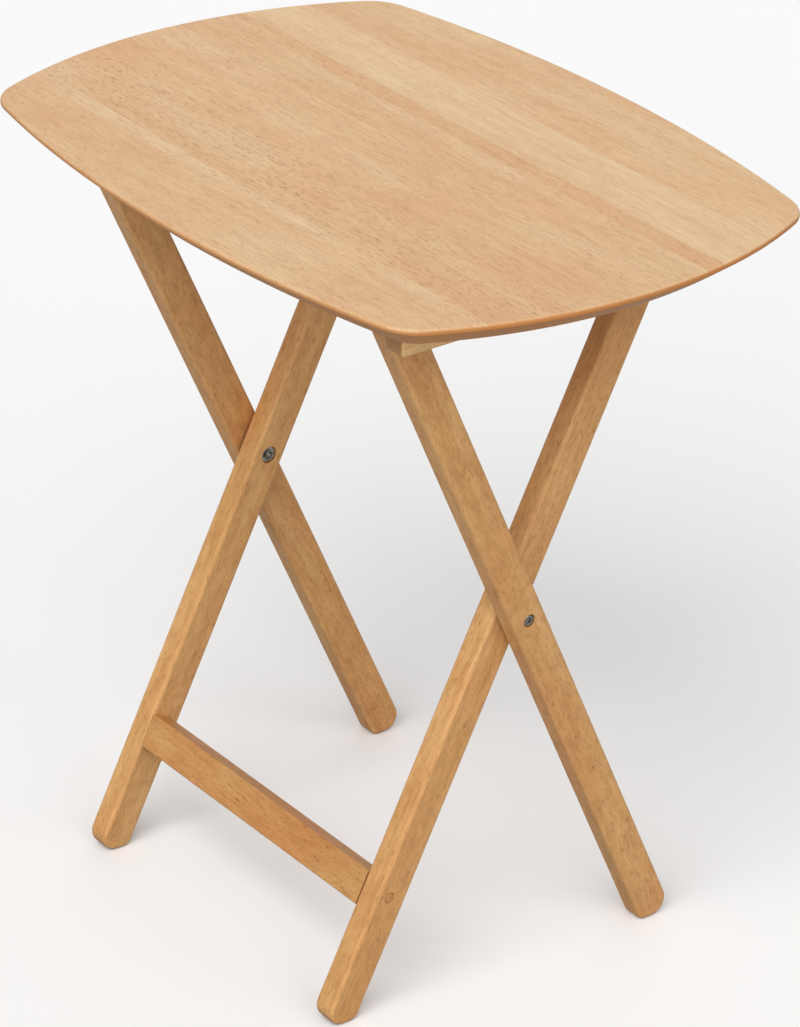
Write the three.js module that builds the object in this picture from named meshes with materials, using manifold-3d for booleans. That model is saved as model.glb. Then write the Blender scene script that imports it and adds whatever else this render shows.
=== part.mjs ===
// Folding wooden tray table: a barrel-shaped tray on two crossed leg frames.
// Millimetres, +Z up. X runs along the tray's long side, Y along its short side.
// The origin is on the floor, under the middle of the tray.

import * as THREE from "three";
import { mergeVertices } from "three/addons/utils/BufferGeometryUtils.js";
import Module from "manifold-3d";

const wasm = await Module();
wasm.setup();

// ---------------------------------------------------------------- driving dimensions

const TABLE_HEIGHT = 660;
const FIT_GAP = 0.3; // clearance between pieces that touch

const TRAY = {
  halfLength: 301.5,
  halfDepth: 226,
  longEdgeBow: 43, // how far the long edges fall back at the corners
  shortEdgeBow: 63.5,
  cornerRadius: 42.5,
  thickness: 20,
  arris: 2.5,
  rim: 1.3, // upright part of the edge, between the arris and the bevel
  bevel: 19.5, // how far the underside's bevel runs in
  offsetY: -4.4, // tray centre, measured from the scissor pivots' axis
};

const LEG = { width: 31, thickness: 21, arris: 3, toeRadius: 14, heelRadius: 7.5 };
const PIVOT_HEIGHT = 333;
const OUTER_LEAN = THREE.MathUtils.degToRad(26.35); // positive leans the top toward -Y
const INNER_LEAN = THREE.MathUtils.degToRad(-24.5);
const LEG_PLAY = 2.2; // space between an outer and an inner leg
const INNER_LEG_FACE = 145.3; // inward face of each inner leg, from the middle

const CLEAT = { thickness: 20, height: 29.5, endY: 157, arris: 2.5, play: 2, cornerRadius: 4 };
const UPPER_AXIS_HEIGHT = 620; // height of the tray pivots and of the catch rod

const STRETCHER = { width: 29.5, thickness: 18, footDistance: 97, inset: 0.6, arris: 1.5 };
const ROD = { radius: 8, halfLength: 208, chamfer: 1.5 };
const NOTCH = { lean: THREE.MathUtils.degToRad(28), play: 0.6, flare: 2 };

// The round ones are given by their radius; a mouth is the radius of the hole a head sits in.
const BOLT = { shank: 2.5, head: 4.6, headHeight: 3.2, chamfer: 0.6, mouth: 5.5, recess: 4.6 };
const SOCKET = { radius: 1.8, depth: 2 };
const NUT = { acrossFlats: 8, height: 2.4, mouth: 7.4, recess: 3.6 };
const PIVOT_SCREW = { recess: 5, bite: 14 }; // its bite is its length in the cleat
const WASHER = { radius: 6.8, height: 1 };
const SPACER = { radius: 9, height: 0.9 };
const CLEAT_SCREW = { head: 4, shank: 2, length: 32, recess: 12 };
const CLEAT_SCREW_SHARES = { front: -0.7, middle: 0, rear: 0.62 }; // of the cleat's half length
const STRETCHER_SCREW = { head: 3.8, shank: 2, length: 48, setBack: 5 };
const SCREW_DISH = { share: 0.75, rim: 0.5, depth: 0.8 };
const PLUG = { radius: 4.2, height: 4 };
const DOWEL = { radius: 3, length: 28 };
const ROD_PIN = { radius: 1, length: 20, setBack: 0.7 };

const FACETS = { fine: 24, ring: 20, plain: 16, small: 12, hexagon: 6 };
const DRILL_LENGTH = 80; // cutting bars reach well past the piece they go through

// ------------------------------------------------------------------- derived places

const trayUnderside = TABLE_HEIGHT - TRAY.thickness;
const innerLegX = INNER_LEG_FACE + LEG.thickness / 2;
const outerLegX = innerLegX + LEG.thickness + LEG_PLAY;
const outerLegFace = outerLegX + LEG.thickness / 2;
const cleatX = outerLegFace + CLEAT.play + CLEAT.thickness / 2;
const axisRise = UPPER_AXIS_HEIGHT - PIVOT_HEIGHT;
const trayPivotY = -axisRise * Math.tan(OUTER_LEAN);
const catchRodY = -axisRise * Math.tan(INNER_LEAN);

const SIDES = [
  { name: "right", sign: 1 },
  { name: "left", sign: -1 },
];

// ------------------------------------------------------------------------ materials

const finish = (color, roughness, metalness = 0) =>
  new THREE.MeshStandardMaterial({ color, roughness, metalness });
const trayWood = finish(0xd9b283, 0.5);
const legWood = finish(0xbf9160, 0.55);
const railWood = finish(0xc79758, 0.55);
const plugWood = finish(0xb58a58, 0.6);
const steel = finish(0x8a8c86, 0.35, 0.9);
const zinc = finish(0xa4a6a2, 0.4, 0.9);

// ------------------------------------------------------------------ geometry helpers

// A shape from corner points [x, y, radius]; each corner with a radius becomes an arc.
function roundedShape(corners) {
  const shape = new THREE.Shape();
  corners.forEach(([x, y, radius], i) => {
    const corner = new THREE.Vector2(x, y);
    const before = corners[(i + corners.length - 1) % corners.length];
    const after = corners[(i + 1) % corners.length];
    const towardBefore = new THREE.Vector2(before[0] - x, before[1] - y).normalize();
    const towardAfter = new THREE.Vector2(after[0] - x, after[1] - y).normalize();
    const halfAngle = Math.acos(towardBefore.dot(towardAfter)) / 2;
    const cut = radius / Math.tan(halfAngle);
    const start = corner.clone().addScaledVector(towardBefore, cut);
    const middle = towardBefore.clone().add(towardAfter).normalize();
    const centre = corner.clone().addScaledVector(middle, radius / Math.sin(halfAngle));
    const end = corner.clone().addScaledVector(towardAfter, cut);
    const place = i === 0 ? "moveTo" : "lineTo";
    shape[place](start.x, start.y);
    if (radius > 0) {
      const from = Math.atan2(start.y - centre.y, start.x - centre.x);
      const to = Math.atan2(end.y - centre.y, end.x - centre.x);
      shape.absarc(centre.x, centre.y, radius, from, to, false);
    }
  });
  shape.closePath();
  return shape;
}

// Extrudes a shape and rounds its rims inward by the arris, so the outline stays true.
function slab(shape, thickness, arris, curveSteps = 4) {
  const points = shape.getPoints(curveSteps);
  const apart = points.filter((point, i) => point.distanceTo(points.at(i - 1)) > 0.01);
  const geometry = new THREE.ExtrudeGeometry(new THREE.Shape(apart), {
    depth: thickness - 2 * arris,
    bevelSize: arris,
    bevelOffset: -arris,
    bevelThickness: arris,
    bevelSegments: 2,
  });
  return geometry.translate(0, 0, arris - thickness / 2);
}

// Turns a slab drawn in X and Y so that it is drawn in Y and Z and is thick along X.
const alongX = new THREE.Matrix4().makeBasis(
  new THREE.Vector3(0, 1, 0),
  new THREE.Vector3(0, 0, 1),
  new THREE.Vector3(1, 0, 0),
);

// A round bar along X, centred on (x, y, z).
function barAlongX(radius, length, x = 0, y = 0, z = 0, sides = FACETS.plain) {
  const geometry = new THREE.CylinderGeometry(radius, radius, length, sides);
  return geometry.rotateZ(-Math.PI / 2).translate(x, y, z);
}

// A solid turned about X from a closed profile of [x, radius] points.
function turned(profile, sides = FACETS.plain) {
  const points = profile.map(([x, radius]) => new THREE.Vector2(radius, x));
  return new THREE.LatheGeometry(points, sides).rotateZ(-Math.PI / 2);
}

// A manifold solid from a closed geometry; flat triangles on a turned axis are dropped.
function toSolid(geometry) {
  const bare = geometry.clone();
  bare.deleteAttribute("normal");
  bare.deleteAttribute("uv");
  const merged = mergeVertices(bare, 1e-4);
  const corners = merged.index.array;
  const kept = [];
  for (let i = 0; i < corners.length; i += 3) {
    const [a, b, c] = corners.slice(i, i + 3);
    if (a !== b && b !== c && c !== a) kept.push(a, b, c);
  }
  return new wasm.Manifold(
    new wasm.Mesh({
      numProp: 3,
      vertProperties: new Float32Array(merged.attributes.position.array),
      triVerts: new Uint32Array(kept),
    }),
  );
}

// The first geometry with all the others cut away from it.
function cut(geometry, ...tools) {
  const solid = tools.reduce((rest, tool) => rest.subtract(toSolid(tool)), toSolid(geometry));
  const { vertProperties, triVerts } = solid.getMesh();
  const result = new THREE.BufferGeometry();
  result.setAttribute("position", new THREE.BufferAttribute(vertProperties, 3));
  result.setIndex(new THREE.BufferAttribute(triVerts, 1));
  result.computeVertexNormals();
  return result;
}

function piece(name, geometry, material) {
  const mesh = new THREE.Mesh(geometry, material.clone());
  mesh.name = name;
  return mesh;
}

// ----------------------------------------------------------------------------- tray

// Barrel outline: two long arcs and two short arcs joined by small corner arcs.
function trayOutline() {
  const { halfLength, halfDepth, longEdgeBow, shortEdgeBow, cornerRadius } = TRAY;
  const longRadius = (halfLength ** 2 + longEdgeBow ** 2) / (2 * longEdgeBow);
  const shortRadius = (halfDepth ** 2 + shortEdgeBow ** 2) / (2 * shortEdgeBow);
  const longCentre = new THREE.Vector2(0, halfDepth - longRadius);
  const shortCentre = new THREE.Vector2(halfLength - shortRadius, 0);
  // the corner arc's centre lies where the two edge circles, shrunk by its radius, cross
  const reach = longRadius - cornerRadius;
  const across = shortRadius - cornerRadius;
  const between = shortCentre.clone().sub(longCentre);
  const distance = between.length();
  const along = (reach ** 2 - across ** 2 + distance ** 2) / (2 * distance);
  const side = Math.sqrt(reach ** 2 - along ** 2);
  const unit = between.normalize();
  const corner = longCentre
    .clone()
    .addScaledVector(unit, along)
    .addScaledVector(new THREE.Vector2(unit.y, -unit.x), side);
  const longEnd = Math.atan2(corner.y - longCentre.y, corner.x - longCentre.x);
  const shortEnd = Math.atan2(corner.y - shortCentre.y, corner.x - shortCentre.x);
  const shape = new THREE.Shape();
  const { x, y } = corner;
  const turn = Math.PI;
  shape.absarc(shortCentre.x, 0, shortRadius, -shortEnd, shortEnd, false);
  shape.absarc(x, y, cornerRadius, shortEnd, longEnd, false);
  shape.absarc(0, longCentre.y, longRadius, longEnd, turn - longEnd, false);
  shape.absarc(-x, y, cornerRadius, turn - longEnd, turn - shortEnd, false);
  shape.absarc(-shortCentre.x, 0, shortRadius, turn - shortEnd, turn + shortEnd, false);
  shape.absarc(-x, -y, cornerRadius, turn + shortEnd, turn + longEnd, false);
  shape.absarc(0, -longCentre.y, longRadius, turn + longEnd, 2 * turn - longEnd, false);
  shape.absarc(x, -y, cornerRadius, -longEnd, -shortEnd, false);
  return shape;
}

function cleatScrewPlaces() {
  return Object.entries(CLEAT_SCREW_SHARES).map(([name, share]) => ({
    name,
    y: TRAY.offsetY + share * CLEAT.endY,
  }));
}

// An upright round hole or bar, centred on (x, y, z).
function upright(radius, length, x, y, z, sides = FACETS.plain) {
  const geometry = new THREE.CylinderGeometry(radius, radius, length, sides);
  return geometry.rotateX(Math.PI / 2).translate(x, y, z);
}

// The outline's points moved inward by a distance, square to the edge.
function insetPoints(points, distance) {
  return points.map((point, i) => {
    const along = points[(i + 1) % points.length].clone().sub(points.at(i - 1)).normalize();
    return new THREE.Vector2(point.x - along.y * distance, point.y + along.x * distance);
  });
}

// A closed body from level rings of points, each [points, z], from the bottom up.
function fromRings(rings) {
  const count = rings[0][0].length;
  const positions = rings.flatMap(([points, z]) => points.flatMap(({ x, y }) => [x, y, z]));
  const faces = [];
  for (let ring = 0; ring < rings.length - 1; ring++) {
    for (let i = 0; i < count; i++) {
      const next = (i + 1) % count;
      const [a, b] = [ring * count + i, ring * count + next];
      faces.push(a, b, b + count, a, b + count, a + count);
    }
  }
  const top = (rings.length - 1) * count;
  const caps = THREE.ShapeUtils.triangulateShape(rings[0][0], []);
  caps.forEach(([a, b, c]) => faces.push(a, c, b, top + a, top + b, top + c));
  const geometry = new THREE.BufferGeometry();
  geometry.setAttribute("position", new THREE.Float32BufferAttribute(positions, 3));
  geometry.setIndex(faces);
  return geometry;
}

// The edge is widest just below its rounded upper arris, and a wide bevel thins it from below.
function trayBody() {
  const { thickness, arris, rim, bevel } = TRAY;
  const outline = trayOutline().getPoints(8);
  const points = outline.filter((point, i) => point.distanceTo(outline.at(i - 1)) > 0.01);
  const widest = TABLE_HEIGHT - arris;
  const rings = [
    [insetPoints(points, bevel), TABLE_HEIGHT - thickness],
    [points, widest - rim],
    [points, widest],
  ];
  [30, 60, 90].forEach((degrees) => {
    const angle = THREE.MathUtils.degToRad(degrees);
    const shift = arris * (1 - Math.cos(angle));
    rings.push([insetPoints(points, shift), widest + arris * Math.sin(angle)]);
  });
  return fromRings(rings);
}

function tray() {
  const body = trayBody().translate(0, TRAY.offsetY, 0);
  const depth = CLEAT_SCREW.length + CLEAT_SCREW.recess - CLEAT.height + 1;
  const radius = CLEAT_SCREW.shank + FIT_GAP;
  const pilots = SIDES.flatMap(({ sign }) =>
    cleatScrewPlaces().map(({ y }) => upright(radius, 2 * depth, sign * cleatX, y, trayUnderside)),
  );
  return piece("tray_top", cut(body, ...pilots), trayWood);
}

// --------------------------------------------------------------------------- cleats

// The catch notch opens downward and leans the way the rod leaves as the tray lifts.
function notchTool() {
  const radius = ROD.radius + NOTCH.play;
  const reach = CLEAT.height;
  const seat = new THREE.Shape();
  seat.absarc(0, 0, radius, 0, Math.PI, false);
  seat.lineTo(-radius - NOTCH.flare, -reach);
  seat.lineTo(radius, -reach);
  const tool = new THREE.ExtrudeGeometry(seat, {
    depth: DRILL_LENGTH,
    bevelEnabled: false,
    curveSegments: FACETS.small,
  });
  return tool.translate(0, 0, -DRILL_LENGTH / 2).rotateZ(-NOTCH.lean).applyMatrix4(alongX);
}

function cleat({ name, sign }) {
  const { thickness, height, endY, arris, cornerRadius } = CLEAT;
  const profile = roundedShape([
    [-endY, 0, cornerRadius],
    [endY, 0, cornerRadius],
    [endY, height - FIT_GAP, 0],
    [-endY, height - FIT_GAP, 0],
  ]);
  const bottom = trayUnderside - height;
  const body = slab(profile, thickness, arris).applyMatrix4(alongX);
  body.translate(sign * cleatX, TRAY.offsetY, bottom);
  const notch = notchTool().translate(sign * cleatX, catchRodY, UPPER_AXIS_HEIGHT);
  const pivotX = sign * (cleatX - thickness / 2);
  const pivotDepth = 2 * (PIVOT_SCREW.bite + 1);
  const pivotRadius = BOLT.shank + FIT_GAP;
  const pivot = barAlongX(pivotRadius, pivotDepth, pivotX, trayPivotY, UPPER_AXIS_HEIGHT);
  const screwHoles = cleatScrewPlaces().flatMap(({ y }) => [
    upright(CLEAT_SCREW.shank + FIT_GAP, DRILL_LENGTH, sign * cleatX, y, bottom),
    upright(CLEAT_SCREW.head + FIT_GAP, 2 * CLEAT_SCREW.recess, sign * cleatX, y, bottom),
  ]);
  return piece(`cleat_${name}`, cut(body, notch, pivot, ...screwHoles), railWood);
}

// A wood screw from (0, 0, 0) upward: a dished head, a shank and a point.
function woodScrew({ head, shank, length }) {
  const headHeight = head - shank;
  const profile = [
    [0, 0],
    [SCREW_DISH.depth, SCREW_DISH.rim],
    [0, head * SCREW_DISH.share],
    [0, head],
    [headHeight, shank],
    [length - 2 * shank, shank],
    [length, 0],
  ];
  const points = profile.map(([z, radius]) => new THREE.Vector2(radius, z));
  return new THREE.LatheGeometry(points, FACETS.plain).rotateX(Math.PI / 2);
}

function cleatScrews({ name: side, sign }) {
  const headHeight = CLEAT_SCREW.head - CLEAT_SCREW.shank;
  const z = trayUnderside - CLEAT.height + CLEAT_SCREW.recess - headHeight - FIT_GAP;
  return cleatScrewPlaces().map(({ name, y }) => {
    const screw = piece(`cleat_screw_${side}_${name}`, woodScrew(CLEAT_SCREW), zinc);
    screw.position.set(sign * cleatX, y, z);
    return screw;
  });
}

// ----------------------------------------------------------------------------- legs

// A straight bar through the scissor pivot at (0, 0): round at its top axis, cut level
// with the floor at its foot, where the long corner is the toe and the short one the heel.
function legProfile(lean) {
  const { width, toeRadius, heelRadius } = LEG;
  const half = width / 2;
  const top = axisRise / Math.cos(lean) + half;
  const floorAt = (u) => (-PIVOT_HEIGHT - u * Math.sin(lean)) / Math.cos(lean);
  const [nearRadius, farRadius] = lean < 0 ? [toeRadius, heelRadius] : [heelRadius, toeRadius];
  return roundedShape([
    [-half, floorAt(-half), nearRadius],
    [half, floorAt(half), farRadius],
    [half, top, half],
    [-half, top, half],
  ]);
}

function legBar(lean) {
  return slab(legProfile(lean), LEG.thickness, LEG.arris).applyMatrix4(alongX);
}

// Places a geometry drawn in a leg's own frame, with the scissor pivot at its origin.
function onFrame(mesh, lean) {
  mesh.position.set(0, 0, PIVOT_HEIGHT);
  mesh.rotation.x = lean;
  return mesh;
}

// The clearance hole and head mouth of a pivot bolt that goes in from a side's outside.
function boltHoles(sign, face, y, z) {
  const x = sign * face;
  return [
    barAlongX(BOLT.shank + FIT_GAP, DRILL_LENGTH, x, y, z),
    barAlongX(BOLT.mouth, 2 * BOLT.recess, x, y, z, FACETS.fine),
  ];
}

// The clearance hole and wide mouth of a pivot, in the face that looks inward.
function washerHoles(sign, face, y, z, recess) {
  const x = sign * face;
  return [
    barAlongX(BOLT.shank + FIT_GAP, DRILL_LENGTH, x, y, z),
    barAlongX(NUT.mouth, 2 * recess, x, y, z, FACETS.fine),
  ];
}

function outerLeg({ name, sign }) {
  const topAxis = axisRise / Math.cos(OUTER_LEAN);
  const bar = legBar(OUTER_LEAN).translate(sign * outerLegX, 0, 0);
  const holes = [
    ...boltHoles(sign, outerLegFace, 0, 0),
    ...washerHoles(sign, outerLegX - LEG.thickness / 2, 0, topAxis, PIVOT_SCREW.recess),
  ];
  return onFrame(piece(`outer_leg_${name}`, cut(bar, ...holes), legWood), OUTER_LEAN);
}

// Height along an inner leg of a point given by its distance from the foot.
function fromFoot(distance) {
  return distance - PIVOT_HEIGHT / Math.cos(INNER_LEAN);
}

const stretcherMiddle = fromFoot(STRETCHER.footDistance + STRETCHER.width / 2);
const stretcherDepth = -LEG.width / 2 + STRETCHER.inset + STRETCHER.thickness / 2;
const stretcherScrewAt = { y: -2.8, z: stretcherMiddle + 2 };
const stretcherDowelAt = { y: stretcherDepth - 1, z: stretcherMiddle - 9 };

function innerLeg({ name, sign }) {
  const rodAxis = axisRise / Math.cos(INNER_LEAN);
  const bar = legBar(INNER_LEAN).translate(sign * innerLegX, 0, 0);
  const outside = sign * (innerLegX + LEG.thickness / 2);
  const screw = stretcherScrewAt;
  const dowel = stretcherDowelAt;
  const dowelX = sign * INNER_LEG_FACE;
  const plugDepth = 2 * (PLUG.height + STRETCHER_SCREW.setBack);
  const holes = [
    ...washerHoles(sign, INNER_LEG_FACE, 0, 0, NUT.recess),
    barAlongX(ROD.radius + FIT_GAP, DRILL_LENGTH, outside, 0, rodAxis, FACETS.fine),
    barAlongX(STRETCHER_SCREW.shank + FIT_GAP, DRILL_LENGTH, outside, screw.y, screw.z),
    barAlongX(PLUG.radius + FIT_GAP, plugDepth, outside, screw.y, screw.z),
    barAlongX(DOWEL.radius + FIT_GAP, DOWEL.length + 1, dowelX, dowel.y, dowel.z),
    rodPinHole(sign),
  ];
  return onFrame(piece(`inner_leg_${name}`, cut(bar, ...holes), legWood), INNER_LEAN);
}

// ------------------------------------------------------------ stretcher and its fixings

function lowerStretcher() {
  const { width, thickness, arris } = STRETCHER;
  const shape = roundedShape([
    [-thickness / 2, -width / 2, 0],
    [thickness / 2, -width / 2, 0],
    [thickness / 2, width / 2, 0],
    [-thickness / 2, width / 2, 0],
  ]);
  const length = 2 * (INNER_LEG_FACE - FIT_GAP);
  const rail = slab(shape, length, arris, 1).applyMatrix4(alongX);
  rail.translate(0, stretcherDepth, stretcherMiddle);
  const screw = stretcherScrewAt;
  const dowel = stretcherDowelAt;
  const holes = SIDES.flatMap(({ sign }) => {
    const x = sign * INNER_LEG_FACE;
    return [
      barAlongX(STRETCHER_SCREW.shank + FIT_GAP, 2 * STRETCHER_SCREW.length, x, screw.y, screw.z),
      barAlongX(DOWEL.radius + FIT_GAP, DOWEL.length + 1, x, dowel.y, dowel.z),
    ];
  });
  return onFrame(piece("lower_stretcher", cut(rail, ...holes), railWood), INNER_LEAN);
}

// Turns a piece drawn from x = 0 toward +X so that it points away from a side's outside.
function pointingIn(geometry, sign, x, y, z) {
  return geometry.rotateZ(sign > 0 ? Math.PI : 0).translate(x, y, z);
}

function stretcherFixings({ name, sign }) {
  const outside = sign * (innerLegX + LEG.thickness / 2);
  const { y, z } = stretcherScrewAt;
  const dowel = stretcherDowelAt;
  const headHeight = STRETCHER_SCREW.head - STRETCHER_SCREW.shank;
  const headDepth = PLUG.height + STRETCHER_SCREW.setBack - headHeight - FIT_GAP;
  const screwX = outside - sign * headDepth;
  const screw = woodScrew(STRETCHER_SCREW).rotateY(Math.PI / 2);
  const plug = barAlongX(PLUG.radius, PLUG.height, outside - sign * PLUG.height / 2, y, z);
  const pin = barAlongX(DOWEL.radius, DOWEL.length, sign * INNER_LEG_FACE, dowel.y, dowel.z);
  return [
    piece(`stretcher_screw_${name}`, pointingIn(screw, sign, screwX, y, z), zinc),
    piece(`stretcher_plug_${name}`, plug, plugWood),
    piece(`stretcher_dowel_${name}`, pin, railWood),
  ].map((mesh) => onFrame(mesh, INNER_LEAN));
}

// ------------------------------------------------------------------------- catch rod

// A headless pin goes in through the top of each inner leg and across the rod.
const rodPinTop = axisRise / Math.cos(INNER_LEAN) + LEG.width / 2 - ROD_PIN.setBack;

function rodPinHole(sign) {
  const length = LEG.width;
  const foot = rodPinTop - ROD_PIN.length - FIT_GAP;
  const x = sign * innerLegX;
  return upright(ROD_PIN.radius + FIT_GAP, length, x, 0, foot + length / 2, FACETS.small);
}

function catchRod() {
  const { radius, halfLength, chamfer } = ROD;
  const profile = [
    [-halfLength, 0],
    [-halfLength, radius - chamfer],
    [-halfLength + chamfer, radius],
    [halfLength - chamfer, radius],
    [halfLength, radius - chamfer],
    [halfLength, 0],
  ];
  const rod = turned(profile, FACETS.fine).translate(0, 0, axisRise / Math.cos(INNER_LEAN));
  const pinHoles = SIDES.map(({ sign }) => rodPinHole(sign));
  return onFrame(piece("catch_rod", cut(rod, ...pinHoles), railWood), INNER_LEAN);
}

function rodPin({ name, sign }) {
  const { radius, length } = ROD_PIN;
  const middle = rodPinTop - length / 2;
  const pin = upright(radius, length, sign * innerLegX, 0, middle, FACETS.small);
  return onFrame(piece(`catch_rod_pin_${name}`, pin, zinc), INNER_LEAN);
}

// ------------------------------------------------------------------- pivot hardware

// A bolt from its head's face at x = 0 to its end, with a hexagon socket in the head.
function socketBolt(length) {
  const { shank, head, headHeight, chamfer } = BOLT;
  const body = turned([
    [0, 0],
    [0, head - chamfer],
    [chamfer, head],
    [headHeight, head],
    [headHeight, shank],
    [length - chamfer, shank],
    [length, shank - chamfer],
    [length, 0],
  ]);
  return cut(body, barAlongX(SOCKET.radius, 2 * SOCKET.depth, 0, 0, 0, FACETS.hexagon));
}

// A ring about X, from x = 0 to x = height.
function washerRing(radius, height) {
  const hole = BOLT.shank + FIT_GAP;
  const section = [
    [0, hole],
    [0, radius],
    [height, radius],
    [height, hole],
    [0, hole],
  ];
  return turned(section, FACETS.ring);
}

function hexNut() {
  const corner = NUT.acrossFlats / 2 / Math.cos(Math.PI / 6);
  const body = barAlongX(corner, NUT.height, NUT.height / 2, 0, 0, FACETS.hexagon);
  return cut(body, barAlongX(BOLT.shank + FIT_GAP, DRILL_LENGTH));
}

// One pivot's parts, each [name, geometry, face, heading, material]. A geometry starts at its
// face, measured outward from the middle, and runs outward (1) or inward (-1) from there.
function pivotParts(kind, { name, sign }, parts, y, z) {
  return parts.map(([part, geometry, face, heading, material]) => {
    const turn = heading * sign > 0 ? 0 : Math.PI;
    const placed = geometry.rotateZ(turn).translate(sign * face, y, z);
    return piece(`${kind}_${part}_${name}`, placed, material);
  });
}

function washerAt(face) {
  return ["washer", washerRing(WASHER.radius, WASHER.height), face, 1, zinc];
}

function spacerAt(face, play) {
  const ring = washerRing(SPACER.radius, SPACER.height);
  return ["spacer", ring, face + (play - SPACER.height) / 2, 1, zinc];
}

// A bolt with its head in the outer leg's outside face and its nut in the inner leg.
function scissorHardware(side) {
  const headFace = outerLegFace - BOLT.recess + BOLT.headHeight + FIT_GAP;
  const washerFace = INNER_LEG_FACE + NUT.recess - FIT_GAP - WASHER.height;
  const nutFace = washerFace - FIT_GAP - NUT.height;
  const parts = [
    ["bolt", socketBolt(headFace - nutFace), headFace, -1, steel],
    washerAt(washerFace),
    ["nut", hexNut(), nutFace, 1, steel],
    spacerAt(INNER_LEG_FACE + LEG.thickness, LEG_PLAY),
  ];
  return pivotParts("scissor", side, parts, 0, PIVOT_HEIGHT);
}

// A screw with its head in the outer leg's inward face, driven outward into the cleat.
function trayPivotHardware(side) {
  const innerFace = outerLegX - LEG.thickness / 2;
  const washerFace = innerFace + PIVOT_SCREW.recess - FIT_GAP - WASHER.height;
  const headFace = washerFace - FIT_GAP - BOLT.headHeight;
  const end = cleatX - CLEAT.thickness / 2 + PIVOT_SCREW.bite;
  const parts = [
    ["screw", socketBolt(end - headFace), headFace, 1, steel],
    washerAt(washerFace),
    spacerAt(outerLegFace, CLEAT.play),
  ];
  return pivotParts("tray_pivot", side, parts, trayPivotY, UPPER_AXIS_HEIGHT);
}

// ---------------------------------------------------------------------- whole table

const table = new THREE.Group();
table.position.y = -TRAY.offsetY;
table.add(tray(), lowerStretcher(), catchRod());
SIDES.forEach((side) => {
  table.add(cleat(side), ...cleatScrews(side), outerLeg(side), innerLeg(side));
  table.add(...stretcherFixings(side), rodPin(side));
  table.add(...scissorHardware(side), ...trayPivotHardware(side));
});

export default table;
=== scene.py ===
"""A folding wooden tray table: a barrel-shaped tray on two crossed leg frames, in metres."""

import math

import bmesh
import bpy
from mathutils import Matrix, Vector


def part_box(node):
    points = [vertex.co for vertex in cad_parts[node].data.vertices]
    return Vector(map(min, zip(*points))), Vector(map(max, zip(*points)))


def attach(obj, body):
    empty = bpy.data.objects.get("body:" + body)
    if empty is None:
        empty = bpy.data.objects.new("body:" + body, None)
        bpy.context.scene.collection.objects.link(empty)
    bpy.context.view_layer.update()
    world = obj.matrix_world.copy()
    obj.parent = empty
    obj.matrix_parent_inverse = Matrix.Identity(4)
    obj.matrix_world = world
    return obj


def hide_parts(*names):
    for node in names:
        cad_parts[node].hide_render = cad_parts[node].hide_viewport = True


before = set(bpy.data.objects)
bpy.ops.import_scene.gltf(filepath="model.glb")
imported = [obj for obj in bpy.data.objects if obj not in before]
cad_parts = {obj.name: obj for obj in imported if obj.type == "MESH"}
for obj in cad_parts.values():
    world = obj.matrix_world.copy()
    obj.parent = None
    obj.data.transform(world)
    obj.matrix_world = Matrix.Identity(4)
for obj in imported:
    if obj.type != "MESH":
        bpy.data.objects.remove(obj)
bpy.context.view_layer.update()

# ------------------------------------------------------------------------------ tray board
# The tray is one flat panel of rubberwood staves, glued edge to edge and sanded flush.
# It is sawn to a barrel outline of four long arcs. Its upper rim is rounded over, a wide bevel
# thins its edge from below, and it has a clear satin lacquer all over.

TRAY_LONG_BOW = 0.043
TRAY_SHORT_BOW = 0.0635
TRAY_CORNER = 0.0425
TRAY_ARRIS = 0.0028
TRAY_RIM = 0.001
TRAY_BEVEL = 0.0195
TRAY_SOFTNESS = 0.0005

# Each stave from the -Y edge on: its width, how pale it is, how pink it is, how open its pores.
STAVES = [
    (0.076, 0.50, 0.45, 0.55),
    (0.014, 0.72, 0.35, 0.70),
    (0.066, 0.46, 0.62, 1.00),
    (0.050, 0.50, 0.60, 0.60),
    (0.035, 0.64, 0.42, 0.60),
    (0.042, 0.54, 0.50, 0.60),
    (0.018, 0.32, 0.80, 0.80),
    (0.057, 0.86, 0.20, 0.35),
    (0.094, 0.54, 0.42, 0.50),
]


def arc(centre, radius, start, end, steps):
    """Points of an arc, without its last one."""
    angles = [start + (end - start) * step / steps for step in range(steps)]
    return [centre + radius * Vector((math.cos(a), math.sin(a))) for a in angles]


def barrel_outline(half_x, half_y):
    """Two long and two short arcs, joined at the corners by small arcs that touch both."""
    long_radius = (half_x**2 + TRAY_LONG_BOW**2) / (2 * TRAY_LONG_BOW)
    short_radius = (half_y**2 + TRAY_SHORT_BOW**2) / (2 * TRAY_SHORT_BOW)
    long_centre = Vector((0, half_y - long_radius))
    short_centre = Vector((half_x - short_radius, 0))
    between = short_centre - long_centre
    reach = long_radius - TRAY_CORNER
    across = short_radius - TRAY_CORNER
    along = (reach**2 - across**2 + between.length_squared) / (2 * between.length)
    side = math.sqrt(reach**2 - along**2)
    ahead = between.normalized()
    corner = long_centre + ahead * along + Vector((ahead.y, -ahead.x)) * side
    long_end = math.atan2(corner.y - long_centre.y, corner.x - long_centre.x)
    short_end = math.atan2(corner.y, corner.x - short_centre.x)
    points = []
    for turn in (0, math.pi):
        sign = math.cos(turn)
        other = Vector((-corner.x, corner.y))
        points += arc(sign * short_centre, short_radius, turn - short_end, turn + short_end, 40)
        points += arc(sign * corner, TRAY_CORNER, turn + short_end, turn + long_end, 12)
        points += arc(sign * long_centre, long_radius, turn + long_end, turn + math.pi - long_end, 60)
        points += arc(sign * other, TRAY_CORNER, turn + math.pi - long_end, turn + math.pi - short_end, 12)
    return points


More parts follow.
